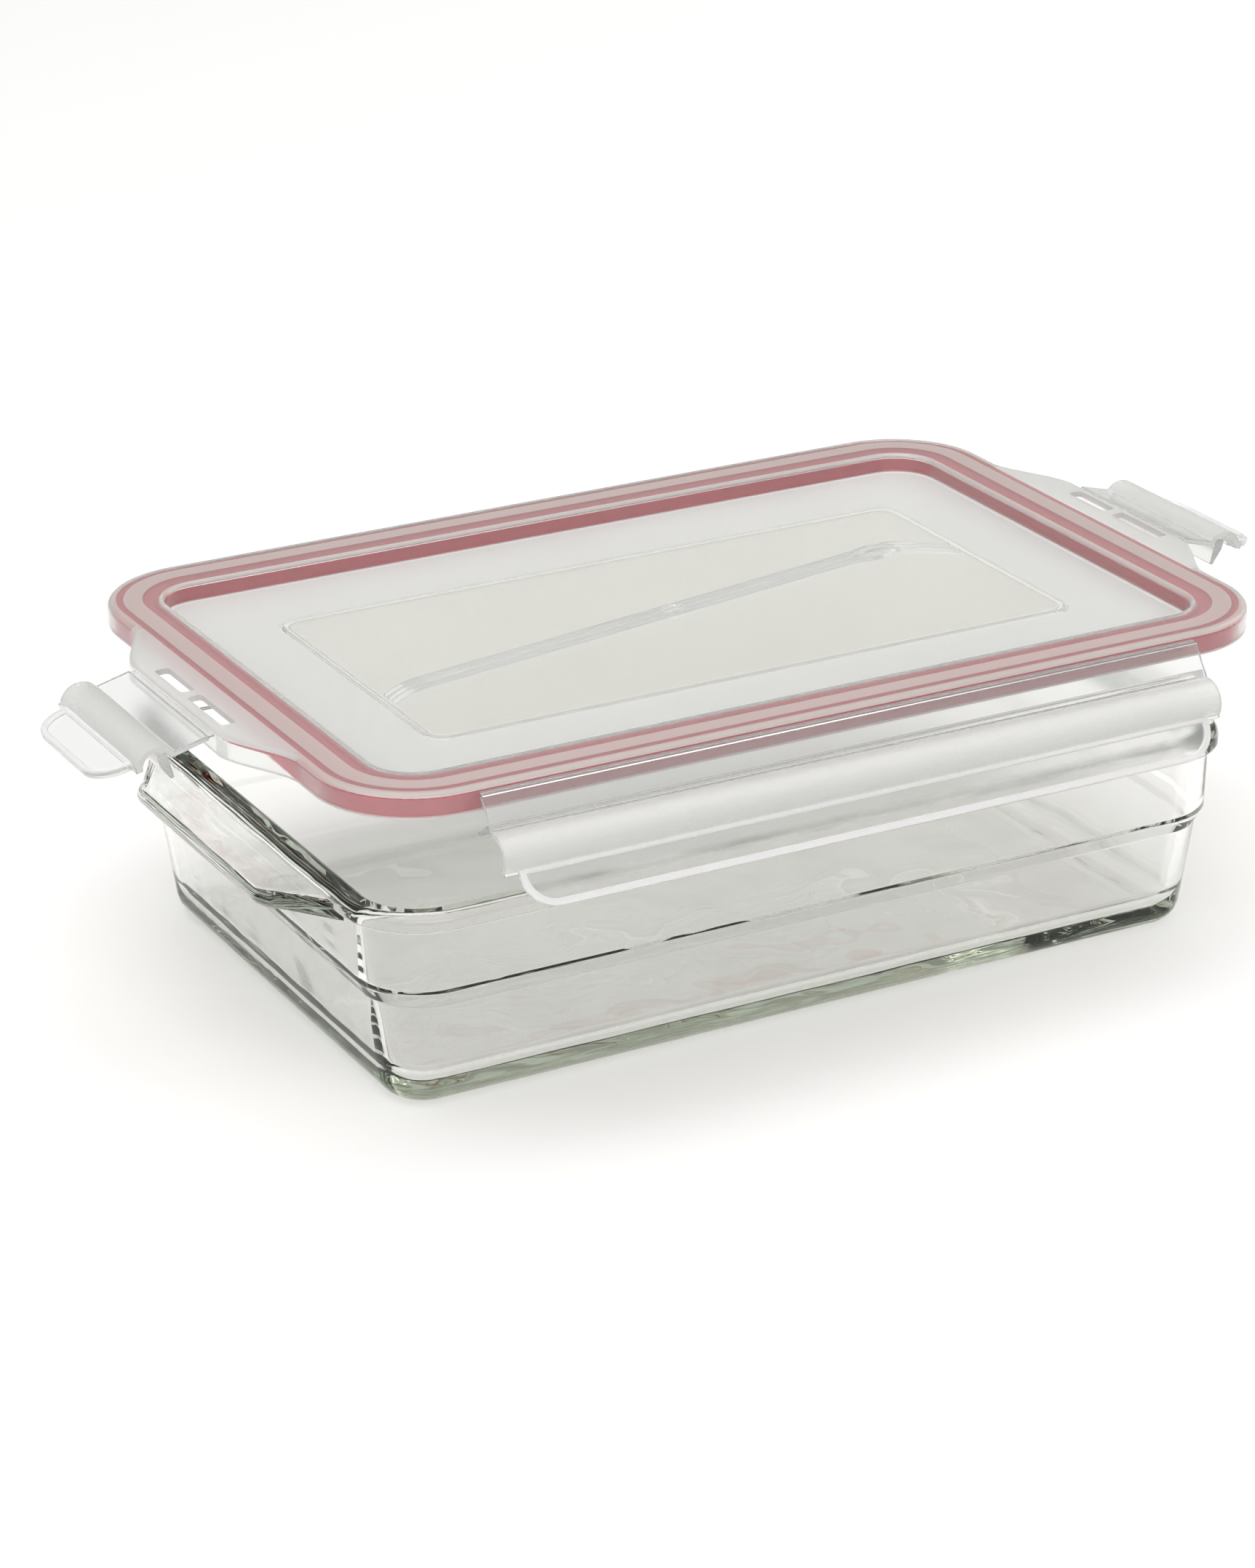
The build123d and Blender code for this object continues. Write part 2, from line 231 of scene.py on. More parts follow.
def makeDish(d):
    inLedge = d["wallAtLedge"] - d["glassWall"]
    inUnder = d["wallUnderLedge"] - d["glassWall"]
    section = roundCorners([
        (d["cavityFloor"] - d["cavityRound"] + 0.8, d["floor"], 0),
        (d["cavityFloor"], d["floor"], d["cavityRound"]),
        (inUnder, d["ledgeBottom"], d["ledgeRound"]),
        (inLedge, d["ledgeTop"], d["ledgeRound"]),
        (0.0, d["height"], d["lipRound"]),
        (d["rimWidth"], d["height"], d["beadRound"]),
        (d["rimWidth"], d["lugTop"], 0),
        (d["rimWidth"], d["beadUnder"], d["underRound"]),
        (d["wallTop"], d["beadUnder"], d["underRound"]),
        (d["wallAtLug"], d["lugUnder"], 0),
        (d["wallAtLedge"], d["ledgeTop"], d["ledgeRound"]),
        (d["wallUnderLedge"], d["ledgeBottom"], d["ledgeRound"]),
        (d["foot"], 0.0, d["footRound"]),
        (d["foot"] - d["footRound"] + 0.6, 0.0, 0),
    ])
    root, tip, fan = d["lugRoot"], d["lugTip"], d["lugFan"]
    run = root - fan
    fanCuts = [fan * k / d["lugFanSteps"] for k in range(d["lugFanSteps"] + 1)]
    cuts = [*[c - root for c in fanCuts], -run / 2, 0, run / 2, *[c + run for c in fanCuts]]
    obj = sweepRing("glassDish", section, d, d["cornerSteps"], endCuts=cuts)
    fillAt(obj, d["floor"])
    fillAt(obj, 0.0)
    # the lugs are drawn out of the ends' bead and wall
    inner = (d["halfLength"] + d["wallAtLedge"] - 0.5) * mm
    for way in (-1, 1):
        pick(obj, "FACE", lambda f: f.center.x * way > inner and abs(f.center.y) < root * mm
             and d["lugUnder"] * mm < f.center.z < d["lugTop"] * mm)
        bpy.ops.mesh.extrude_region_move(TRANSFORM_OT_translate={"value": (way * 20 * mm, 0, 0)})
        objectMode()
    # then narrowed and drooped, with a full round edge and round corners
    drawn = [p for p in obj.data.vertices if abs(p.co.x) > (d["halfLength"] + d["rimWidth"] + 5) * mm]
    rows = sorted({round(p.co.z / mm, 2) for p in drawn})
    edge, r, corner = d["halfLength"] + d["rimWidth"] + d["lugReach"], d["lugThick"] / 2, d["lugCorner"]
    widest = math.radians(d["lugCornerTurn"])
    for point in drawn:
        tilt = math.radians(-90 + 180 * rows.index(round(point.co.z / mm, 2)) / (len(rows) - 1))
        across = abs(point.co.y) / mm
        bend = max(0.0, across - run) / fan * widest
        flat = min(across, run) / run * (tip - corner * math.sin(widest))
        back = r * (1 - math.cos(tilt))
        x = edge - corner * (1 - math.cos(bend)) - back * math.cos(bend)
        y = flat + corner * math.sin(bend) - back * math.sin(bend)
        z = d["lugTop"] - d["lugDroop"] - r + r * math.sin(tilt)
        point.co = (math.copysign(x, point.co.x) * mm, math.copysign(y, point.co.y) * mm, z * mm)
    cleanNormals(obj)
    smoothShade(obj)
    return obj


glassDish = makeDish(dish)
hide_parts("glass_dish")
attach(glassDish, "dish")
print("dish made", len(glassDish.data.polygons))

# lid, sizes in mm with the lid on its seat
lid = {
    "halfLength": 140.0, "halfWidth": 88.5, "corner": 17.0, "cornerSteps": 14,
    "top": 69.7, "ceiling": 67.9, "panel": 63.5, "wall": 1.8, "skirtBottom": 62.2,
    "plug": -1.6, "skirt": 14.0,
    "panelRound": 1.3, "lipRound": 1.4, "shoulderRound": 1.7, "edgeRound": 0.5,
    "innerRounds": (0.6, 0.4),   # in the channel's roof, at the skirt and at the plug
    "wingRoot": 59.0, "wingTip": 32.0, "wingReach": 11.4,
    "fieldEnd": 31.0, "fieldSide": 34.5, "fieldCorner": 7.0, "fieldRise": 1.0, "fieldRound": 0.4,
    "slotWidth": 4.6, "slots": (25.0, 20.0), "slotRib": 4.0, "slotIn": 5.4, "slotRound": 1.1,
    "lipLines": (-1.9, 3.4, 9.2, 11.4),   # the gasket shows clear through these two bands
}
# the embossed stem crosses the raised field, over a gate mark at the middle
stem = {
    "width": 9.0, "height": 0.9, "ridge": 0.42, "sunk": 0.5,
    "collar": 6.4, "collarBack": 29.0, "collarSpread": 5.5,
}
gate = {"radius": 3.5, "depth": 2.6, "y": 2.0, "rim": 0.8, "dimple": 0.5, "round": 0.25}


def wingShare(across, d):
    # how far the wing reaches at a place across the end, with eased corners
    share = (d["wingRoot"] - abs(across)) / (d["wingRoot"] - d["wingTip"])
    share = min(max(share, 0.0), 1.0)
    return 0.4 * share + 0.6 * share ** 2 * (3 - 2 * share)


def makeStem(d, end, level):
    # a strip with three ridges laid along an easy S, standing on the raised field
    route = [(2 - end, -21), (12 - end, -15), (31 - end, -11), (0, 3),
             (end - 31, 17), (end - 17, 17), (end - 4, 8)]
    bpy.ops.mesh.primitive_grid_add(x_subdivisions=90, y_subdivisions=18, size=2)
    obj = bpy.context.object
    spans = len(route) - 1
    for point in obj.data.vertices:
        along = (point.co.x + 1) / 2 * spans
        k = min(int(along), spans - 1)
        t = along - k
        p = [Vector(route[min(max(k + j, 0), spans)]) for j in (-1, 0, 1, 2)]
        here = 0.5 * (2 * p[1] + (p[2] - p[0]) * t + (2 * p[0] - 5 * p[1] + 4 * p[2] - p[3]) * t ** 2
                      + (3 * p[1] - p[0] - 3 * p[2] + p[3]) * t ** 3)
        v = point.co.y
        nearCollar = math.exp(-((here.x - (end - d["collarBack"])) / d["collarSpread"]) ** 2)
        width = d["width"] / 2 + nearCollar * (d["collar"] - d["width"] / 2)
        ridge = d["ridge"] * math.cos(v * 3 * math.pi) * (1 - 0.7 * nearCollar) + 0.3 * nearCollar
        edge = min(1.0, (1 - abs(v)) * 4)
        point.co = (here.x * mm, (here.y + v * width) * mm,
                    (level + 0.05 + edge * (d["height"] - 0.3 + ridge)) * mm)
    pick(obj, "FACE", lambda f: True)
    bpy.ops.mesh.extrude_region_move(TRANSFORM_OT_translate={"value": (0, 0, -1 * mm)})
    objectMode()
    for point in obj.data.vertices:
        if point.co.z < (level - 0.2) * mm:
            point.co.z = (level - d["sunk"]) * mm
    cleanNormals(obj)
    return obj


def makeGate(d, level):
    # the round mark where the plastic entered the mould, with a dimple in it
    bpy.ops.mesh.primitive_cylinder_add(vertices=40, radius=d["radius"] * mm, depth=d["depth"] * mm,
                                        location=(0, d["y"] * mm, level * mm))
    obj = bpy.context.object
    pick(obj, "FACE", lambda f: f.normal.z > 0.9)
    bpy.ops.mesh.inset(thickness=d["rim"] * mm, depth=-d["dimple"] * mm)
    objectMode()
    applyModifier(obj, "BEVEL", width=d["round"] * mm, segments=2, limit_method="ANGLE")
    makeActive(obj)
    bpy.ops.object.transform_apply(location=True, rotation=True, scale=True)
    return obj


def makeLid(d):
    up = lidLift / mm
    top, under = d["panel"] + up, d["panel"] - d["wall"] + up
    high, ceiling, low = d["top"] + up, d["ceiling"] + up, d["skirtBottom"] + up
    inner = d["plug"] - d["wall"]
    outerRound, plugRound = d["innerRounds"]
    section = roundCorners([
        (inner - 4, top, 0), (inner, top, d["panelRound"]), (inner, high, d["lipRound"]),
        *[(line, high, 0) for line in d["lipLines"]],
        (d["skirt"], high, d["shoulderRound"]), (d["skirt"], low, d["edgeRound"]),
        (d["skirt"] - d["wall"], low, d["edgeRound"]), (d["skirt"] - d["wall"], ceiling, outerRound),
        (d["plug"], ceiling, plugRound), (d["plug"], under, d["panelRound"]), (inner - 4, under, 0),
    ])
    root, tip = d["wingRoot"], d["wingTip"]
    near = [tip + (root - tip) * k / 8 for k in range(9)]
    endCuts = [-root - 3, *[-y for y in near[::-1]], -tip + 3, 0, tip - 3, *near, root + 3]
    obj = sweepRing("lidShell", section, d, d["cornerSteps"], endCuts=endCuts)
    # the ends' skirt and the channel's outer part are drawn out into the wings
    for point in obj.data.vertices:
        out = abs(point.co.x) / mm - d["halfLength"]
        if out > d["lipLines"][3] + 0.02 and abs(point.co.y) < (root + 2) * mm:
            point.co.x += math.copysign(d["wingReach"] * wingShare(point.co.y / mm, d) * mm, point.co.x)
    field = {"halfLength": d["halfLength"] - d["fieldEnd"], "halfWidth": d["halfWidth"] - d["fieldSide"],
             "corner": d["fieldCorner"]}
    fieldCuts = [c * (field["halfWidth"] - field["corner"]) / (d["halfWidth"] - d["corner"]) for c in endCuts]
    rise, r, w = d["fieldRise"], d["fieldRound"], d["wall"]
    topLine = [(1.5, top, 0), (0, top, r), (0, top + rise, r), (-2, top + rise, 0)]
    underLine = [(0, under, 0), (-w, under, r), (-w, under + rise, r), (-w - 2, under + rise, 0)]
    steps = [sweepRing(name, roundCorners(line, 3), field, d["cornerSteps"], endCuts=fieldCuts)
             for name, line in (("fieldTop", topLine), ("fieldUnder", underLine))]
    obj = joinPieces("lidShell", obj, *steps)
    for level in (top, under):
        openEdges(obj, level)
        bpy.ops.mesh.fill(use_beauty=True)
        objectMode()
    fillAt(obj, top + rise)
    fillAt(obj, under + rise)
    cleanNormals(obj)
    # slots beside each hinge line
    line = d["halfLength"] + d["skirt"] + d["wingReach"] - d["slotIn"]
    for way in (-1, 1):
        for end, length in zip((-1, 1), d["slots"]):
            middle = end * (d["slotRib"] + length) / 2
            bpy.ops.mesh.primitive_cube_add(size=1, location=(way * line * mm, middle * mm, ceiling * mm))
            cutter = bpy.context.object
            cutter.scale = (d["slotWidth"] * mm, length * mm, 8 * mm)
            bpy.ops.object.transform_apply(location=True, rotation=True, scale=True)
            applyModifier(cutter, "BEVEL", width=d["slotRound"] * mm, segments=3, limit_method="ANGLE")
            cutWith(obj, cutter, "DIFFERENCE")
    cutWith(obj, makeStem(stem, field["halfLength"], top + rise), "UNION")
    cutWith(obj, makeGate(gate, top + rise), "UNION")
    smoothShade(obj)
    return obj


lidShell = makeLid(lid)
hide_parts("lid_shell")
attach(lidShell, "lid")
print("lid made", len(lidShell.data.polygons))

# gasket, sizes in mm with the lid on its seat
gasketSizes = {
    "halfLength": 140.0, "halfWidth": 88.5, "corner": 17.0, "cornerSteps": 16,
    "inside": -1.55, "outside": 12.15, "innerLip": 1.0, "outerLip": 2.1,
    "bottom": 62.0, "seat": 65.3, "web": 1.3, "top": 67.9, "round": 0.4,
}


def makeGasket(d):
    up = lidLift / mm
    a, b = d["inside"], d["outside"]
    ai, bi = a + d["innerLip"], b - d["outerLip"]
    r = d["round"]
    low, seat, web, top = d["bottom"] + up, d["seat"] + up, d["seat"] + d["web"] + up, d["top"] + up - 0.05
    section = roundCorners([
        ((a + ai) / 2, low, 0), (a, low, r), (a, top, r), (ai, top, r), (ai, web, r), (bi, web, r),
        (bi, top, r), (b, top, r), (b, low, r), (bi, low, r), (bi, seat, r), (ai, seat, r), (ai, low, r),
    ], 3)
    obj = sweepRing("gasketRing", section, d, d["cornerSteps"], closed=True)
    smoothShade(obj)
    return obj


gasketRing = makeGasket(gasketSizes)
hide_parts("gasket")
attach(gasketRing, "lid")
print("gasket made", len(gasketRing.data.polygons))

# snap latches, sizes in mm down the latch from its hinge
latchSizes = {
    "root": 0.7, "wall": 1.6, "length": 35.0, "edgeRound": 0.3,
    "humpStart": 11.5, "humpLength": 12.0, "humpHeight": 3.8,
    "toothThick": 3.2, "toothNose": 1.2, "toothRound": 0.4,
    "tabInset": 4.5, "tabCorner": 10.0, "tabRound": 0.5, "tabBead": 2.0, "beadHeight": 2.6,
    "hingeHeight": 67.8,
}
# open is in degrees; the end teeth start higher up, inside the hump
sideLatch = {"span": 238.0, "toothAt": 8.7, "toothRoot": 0.2, "toothReach": 9.8, "open": 35.0, "out": 103.6}
endLatch = {"span": 58.0, "toothAt": 13.7, "toothRoot": 1.66, "toothReach": 6.8, "open": 75.0, "out": 166.5}


def hingeFrame(outward, latch):
    # a matrix that lays a flat latch on its hinge: X down the latch, Z out of its face
    turn = math.radians(latch["open"])
    up = Vector((0, 0, 1))
    out = Vector(outward)
    along = out * math.sin(turn) - up * math.cos(turn)
    face = out * math.cos(turn) + up * math.sin(turn)
    side = face.cross(along)
    place = out * latch["out"] * mm + up * (latchSizes["hingeHeight"] * mm + lidLift)
    m = Matrix((along, side, face)).transposed().to_4x4()
    m.translation = place
    return m


def makeStrip(name, section, span):
    # a closed section drawn out along Y
    bpy.ops.mesh.primitive_circle_add(vertices=len(section), radius=mm)
    obj = bpy.context.object
    obj.name = name
    for point, (s, t) in zip(obj.data.vertices, section):
        point.co = (s * mm, -span / 2 * mm, t * mm)
    pick(obj, "EDGE", lambda e: True)
    bpy.ops.mesh.edge_face_add()
    bpy.ops.mesh.extrude_region_move(TRANSFORM_OT_translate={"value": (0, span * mm, 0)})
    objectMode()
    cleanNormals(obj)
    return obj


def archPoints(start, end, base, height, steps):
    # a circular arch between two feet
    half = (end - start) / 2
    rise = height - base
    radius = (half ** 2 + rise ** 2) / (2 * rise)
    middle = (start + end) / 2
    sweep = math.asin(half / radius)
    return [(middle + radius * math.sin(a), height - radius + radius * math.cos(a))
            for a in [-sweep + 2 * sweep * k / steps for k in range(steps + 1)]]


def makeLatch(name, d, latch):
    half, edge = d["wall"] / 2, d["edgeRound"]
    start, end = d["humpStart"], d["humpStart"] + d["humpLength"]
    tooth, toothRoot, reach = latch["toothAt"], latch["toothRoot"], latch["toothReach"]
    outer = archPoints(start, end, half, half + d["humpHeight"], 14)
    inner = archPoints(start + d["wall"], end - d["wall"], -half, half + d["humpHeight"] - d["wall"], 12)
    root = [(d["root"], -half + edge), (d["root"] + edge / 3, -half + edge / 3), (d["root"] + edge, -half)]
    section = [*root[::-1], *[(s, -t) for s, t in root], *outer,
               (end + 0.6, half), (end + 0.6, -half), *inner[::-1]]
    strip = makeStrip(name, section, latch["span"])
    edgeOn = latch["span"] / 2 * mm - 1e-6
    pick(strip, "EDGE", lambda e: all(abs(strip.data.vertices[v].co.y) > edgeOn for v in e.vertices))
    bpy.ops.mesh.bevel(offset=edge * mm, segments=2, affect="EDGES")
    objectMode()
    r = d["toothRound"]
    back = tooth + d["toothThick"]
    hook = makeStrip("hook", roundCorners([
        (tooth, toothRoot, 0), (tooth, -reach, r), (tooth + d["toothNose"], -reach, r),
        (back, -half - 0.6, 2 * r), (back, toothRoot, 0)], 4), latch["span"] - 0.8)
    cutWith(strip, hook, "UNION")
    # the lift tab: a plate with its free corners rounded and a bead left round its edge
    tabStart = end - 1.0
    tabLength, tabSpan = d["length"] - tabStart, latch["span"] - 2 * d["tabInset"]
    bpy.ops.mesh.primitive_plane_add(size=1)
    tab = bpy.context.object
    for point in tab.data.vertices:
        along = tabStart + tabLength * (0.5 + point.co.x)
        point.co = (along * mm, point.co.y * tabSpan * mm, -d["beadHeight"] / 2 * mm)
    pick(tab, "VERT", lambda v: v.co.x > (d["length"] - 0.1) * mm)
    bpy.ops.mesh.bevel(offset=d["tabCorner"] * mm, segments=12, affect="VERTICES")
    bpy.ops.mesh.select_all(action="SELECT")
    bpy.ops.mesh.extrude_region_move(TRANSFORM_OT_translate={"value": (0, 0, d["beadHeight"] * mm)})
    objectMode()
    cleanNormals(tab)
    pick(tab, "FACE", lambda f: abs(f.normal.z) > 0.9)
    bpy.ops.mesh.bevel(offset=d["tabRound"] * mm, segments=3, affect="EDGES")
    objectMode()
    for side in (-1, 1):
        pick(tab, "FACE", lambda f: f.normal.z * side > 0.999)
        bpy.ops.mesh.inset(thickness=(d["tabBead"] - 0.8) * mm, depth=0)
        bpy.ops.mesh.inset(thickness=0.35 * mm, depth=-(d["beadHeight"] - d["wall"]) / 2 * mm)
        objectMode()
    cutWith(strip, tab, "UNION")
    cleanNormals(strip)
    smoothShade(strip)
    return strip


def layLatch(obj, name, node, body, outward, latch):
    obj.name = name
    obj.data.transform(hingeFrame(outward, latch))
    obj.data.update()
    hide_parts(node)
    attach(obj, body)
    return obj


def ownCopy(obj):
    twin = obj.copy()
    twin.data = obj.data.copy()
    bpy.context.scene.collection.objects.link(twin)
    return twin


frontLatch = makeLatch("frontLatch", latchSizes, sideLatch)
backLatch = ownCopy(frontLatch)
leftLatch = makeLatch("leftLatch", latchSizes, endLatch)
rightLatch = ownCopy(leftLatch)
places = {
    "front": (frontLatch, (0, -1, 0), sideLatch), "back": (backLatch, (0, 1, 0), sideLatch),
    "left": (leftLatch, (-1, 0, 0), endLatch), "right": (rightLatch, (1, 0, 0), endLatch),
}
latches = [layLatch(obj, side + "Latch", side + "_latch", side + "_flap", outward, latch)
           for side, (obj, outward, latch) in places.items()]
print("latches made", [len(obj.data.polygons) for obj in latches])

# living hinges, sizes in mm from each hinge line
webSizes = {"thickness": 0.6, "inLid": 1.25, "inLatch": 1.1, "shortBy": 0.3, "round": 0.12}


def makeWeb(side, outward, latch, d):
    # the thin living hinge: it grows out of the lid's edge and turns down into the latch
    frame4 = hingeFrame(outward, latch)
    out, up = Vector(outward), Vector((0, 0, 1))
    axis = frame4.translation
    along = (frame4.to_3x3() @ Vector((1, 0, 0))).normalized()
    start, end = axis - out * d["inLid"] * mm, axis + along * d["inLatch"] * mm
    route = [start, axis - out * 0.6 * mm, axis - out * 0.2 * mm + along * 0.05 * mm,
             axis + along * 0.2 * mm, axis + along * 0.6 * mm, end]
    across = out.cross(up)
    bpy.ops.mesh.primitive_grid_add(x_subdivisions=len(route) - 1, y_subdivisions=24, size=2)
    obj = bpy.context.object
    obj.name = side + "HingeWeb"
    half = latch["span"] / 2 - d["shortBy"]
    for point in obj.data.vertices:
        k = round((point.co.x + 1) / 2 * (len(route) - 1))
        point.co = route[k] + across * point.co.y * half * mm
    cleanNormals(obj)
    applyModifier(obj, "SOLIDIFY", thickness=d["thickness"] * mm, offset=0)
    applyModifier(obj, "BEVEL", width=d["round"] * mm, segments=2, limit_method="ANGLE")
    cleanNormals(obj)
    smoothShade(obj)
    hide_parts(side + "_hinge_web")
    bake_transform(obj)
    return obj


webs = [makeWeb(side, outward, latch, webSizes) for side, (obj, outward, latch) in places.items()]
print("living hinges made", len(webs))


def waviness(tree, coords, scale, strength, distance, detail=2.0):
    # a gentle unevenness for moulded faces; scale is waves per metre
    noise = addNode(tree, "ShaderNodeTexNoise", {"Scale": scale, "Detail": detail, "Roughness": 0.5},
                    {"Vector": coords.outputs["Object"]})
    return addNode(tree, "ShaderNodeBump", {"Strength": strength, "Distance": distance},
                   {"Height": noise.outputs["Fac"]})


def seeThrough(tree, shader, tint, share):
    # lets lamp light through the piece for other things, as clear material does
    path = addNode(tree, "ShaderNodeLightPath")
    clear = addNode(tree, "ShaderNodeBsdfTransparent", {"Color": hexColour(tint)})
    limit = addNode(tree, "ShaderNodeMath", {"operation": "MULTIPLY", 1: share},
                    {0: path.outputs["Is Shadow Ray"]})
    return addNode(tree, "ShaderNodeMixShader", None,
                   {0: limit.outputs[0], 1: shader.outputs[0], 2: clear.outputs[0]})


glassFinish = {
    "depthTint": "#e3ecdc", "depth": 9.0, "wavesPerMetre": 32, "waveHeight": 2.0 * mm,
    "lampShare": 0.9,   # of the lamps' light that falls through onto what lies behind
}


def glassMaterial(f):
    # pressed borosilicate: perfectly clear and faintly green in depth; the mould and plunger
    # leave soft waves about 30 mm long, which bend what is seen through the walls
    mat, tree = newMaterial("pressed borosilicate glass")
    coords = addNode(tree, "ShaderNodeTexCoord")
    waves = waviness(tree, coords, f["wavesPerMetre"], 0.45, f["waveHeight"], 1.0)
    glass = addNode(tree, "ShaderNodeBsdfPrincipled",
                    {"Base Color": hexColour("#ffffff"), "Roughness": 0.0, "IOR": 1.47,
                     "Transmission Weight": 1.0},
                    {"Normal": waves.outputs["Normal"]})
    mixed = seeThrough(tree, glass, "#fbfbfa", f["lampShare"])
    depth = addNode(tree, "ShaderNodeVolumeAbsorption",
                    {"Color": hexColour(f["depthTint"]), "Density": f["depth"]})
    addNode(tree, "ShaderNodeOutputMaterial", None, {"Surface": mixed.outputs[0], "Volume": depth.outputs[0]})
    return mat


# injection-moulded clear polypropylene: milk is the share of cloudy light in it, and the mould's own
# finish sets the roughness; the grain, a quarter of a millimetre across, is drawn twice as coarse on
# the spark-eroded humps so that it shows
plastics = {
    # polished mould steel: sharp, wet reflections
    "gloss": {"tint": "#f8f8f8", "cloud": "#d9dbda", "rough": (0.08, 0.14), "milk": 0.09,
              "grain": 0.06, "perMetre": 3800},
    # blasted steel: a pale, even frost
    "frosted": {"tint": "#f6f6f5", "cloud": "#dcdddb", "rough": (0.30, 0.42), "milk": 0.48,
                "grain": 0.35, "perMetre": 3800},
    # a thick roof over the gasket, which shows through it softened; its cloud is a darker, pinkish grey:
    # painted shade over the channel, with the coral gasket's cast painted in
    "milkyPaintedShade": {"tint": "#f1efee", "cloud": "#c9c1bd", "rough": (0.18, 0.26), "milk": 0.62,
              "grain": 0.2, "perMetre": 3800},
    # the raised field: nearly clear, with soft reflections
    "satin": {"tint": "#f6f6f3", "cloud": "#dfdfd8", "rough": (0.12, 0.18), "milk": 0.28,
              "grain": 0.06, "perMetre": 3800},
    # the humps: a fine sparkle for grip
    "spark-textured": {"tint": "#f5f5f4", "cloud": "#dcdcda", "rough": (0.30, 0.38), "milk": 0.40,
                       "grain": 0.9, "perMetre": 1700},
    # the tabs' beads: a painted highlight, their cloud made whiter for the white line the eye sees looking
    # along the plastic
    "thick-edge-painted-highlight": {"tint": "#f8f8f8", "cloud": "#e6e5e5", "rough": (0.14, 0.20), "milk": 0.55,
                    "grain": 0.06, "perMetre": 3800},
}


def plasticMaterial(name, f):
    # clear polypropylene with a cloudy body under it, and roughness that drifts with the melt's flow
    mat, tree = newMaterial(name + " polypropylene")
    coords = addNode(tree, "ShaderNodeTexCoord")
    spark = addNode(tree, "ShaderNodeTexNoise", {"Scale": f["perMetre"], "Detail": 2.0},
                    {"Vector": coords.outputs["Object"]})
    flow = addNode(tree, "ShaderNodeTexNoise", {"Scale": 16.0, "Detail": 3.0},
                   {"Vector": coords.outputs["Object"]})
    shade = addNode(tree, "ShaderNodeMapRange",
                    {"From Min": 0.3, "From Max": 0.7, "To Min": f["rough"][0], "To Max": f["rough"][1]},
                    {"Value": flow.outputs["Fac"]})
    bumps = addNode(tree, "ShaderNodeBump", {"Strength": f["grain"], "Distance": 0.2 * mm},
                    {"Height": spark.outputs["Fac"]})
    surface = {"Roughness": shade.outputs[0], "Normal": bumps.outputs["Normal"]}
    clear = addNode(tree, "ShaderNodeBsdfPrincipled",
                    {"Base Color": hexColour(f["tint"]), "IOR": 1.49, "Transmission Weight": 1.0}, surface)
    body = addNode(tree, "ShaderNodeBsdfPrincipled",
                   {"Base Color": hexColour(f["cloud"]), "IOR": 1.49}, surface)
    cloudy = addNode(tree, "ShaderNodeMixShader", {0: f["milk"]}, {1: clear.outputs[0], 2: body.outputs[0]})
    mixed = seeThrough(tree, cloudy, f["tint"], 0.8)
    addNode(tree, "ShaderNodeOutputMaterial", None, {"Surface": mixed.outputs[0]})
    return mat


siliconeFinish = {"colour": "#b93043", "rough": 0.46, "bloomPerMetre": 220.0, "skinPerMetre": 900}


def siliconeMaterial(f):
    # compression-moulded silicone: a soft satin that light sinks a few millimetres into, with a
    # dusty bloom in patches of about 5 mm and a fine skin texture of 1 mm
    mat, tree = newMaterial("coral silicone rubber")
    coords = addNode(tree, "ShaderNodeTexCoord")
    bloom = addNode(tree, "ShaderNodeTexNoise", {"Scale": f["bloomPerMetre"], "Detail": 4.0},
                    {"Vector": coords.outputs["Object"]})
    values = addNode(tree, "ShaderNodeMapRange",
                     {"From Min": 0.35, "From Max": 0.65, "To Min": 0.94, "To Max": 1.04},
                     {"Value": bloom.outputs["Fac"]})
    tone = addNode(tree, "ShaderNodeHueSaturation", {"Color": hexColour(f["colour"])},
                   {"Value": values.outputs[0]})
    bumps = waviness(tree, coords, f["skinPerMetre"], 0.12, 0.2 * mm)
    rubber = addNode(tree, "ShaderNodeBsdfPrincipled",
                     {"Roughness": f["rough"], "IOR": 1.42, "Subsurface Weight": 0.25,
                      "Subsurface Scale": 4 * mm, "Subsurface Radius": (1.0, 0.45, 0.4)},
                     {"Base Color": tone.outputs[0], "Normal": bumps.outputs["Normal"]})
    addNode(tree, "ShaderNodeOutputMaterial", None, {"Surface": rubber.outputs[0]})
    return mat


def dress(obj, *mats):
    obj.data.materials.clear()
    for mat in mats:
        obj.data.materials.append(mat)


gloss, frosted, milkyPaintedShade, satin, sparked, thickEdgePaintedHighlight = [plasticMaterial(name, f) for name, f in plastics.items()]
dress(glassDish, glassMaterial(glassFinish))
dress(gasketRing, siliconeMaterial(siliconeFinish))
dress(lidShell, gloss, frosted, milkyPaintedShade, satin)
for obj in latches:
    dress(obj, gloss, sparked, thickEdgePaintedHighlight)
for obj in webs:
    dress(obj, gloss)


def finishWhere(obj, index, test):
    # gives the faces that pass the test another of the piece's finishes
    for face in obj.data.polygons:
        if test(face):
            face.material_index = index


def growAt(point, d):
    # how far a place lies outside the rim opening's outline
    cx, cy = d["halfLength"] - d["corner"], d["halfWidth"] - d["corner"]
    px, py = abs(point.x) / mm - cx, abs(point.y) / mm - cy
    if px > 0 and py > 0:
        return math.hypot(px, py) - d["corner"]
    return max(px, py) - d["corner"]


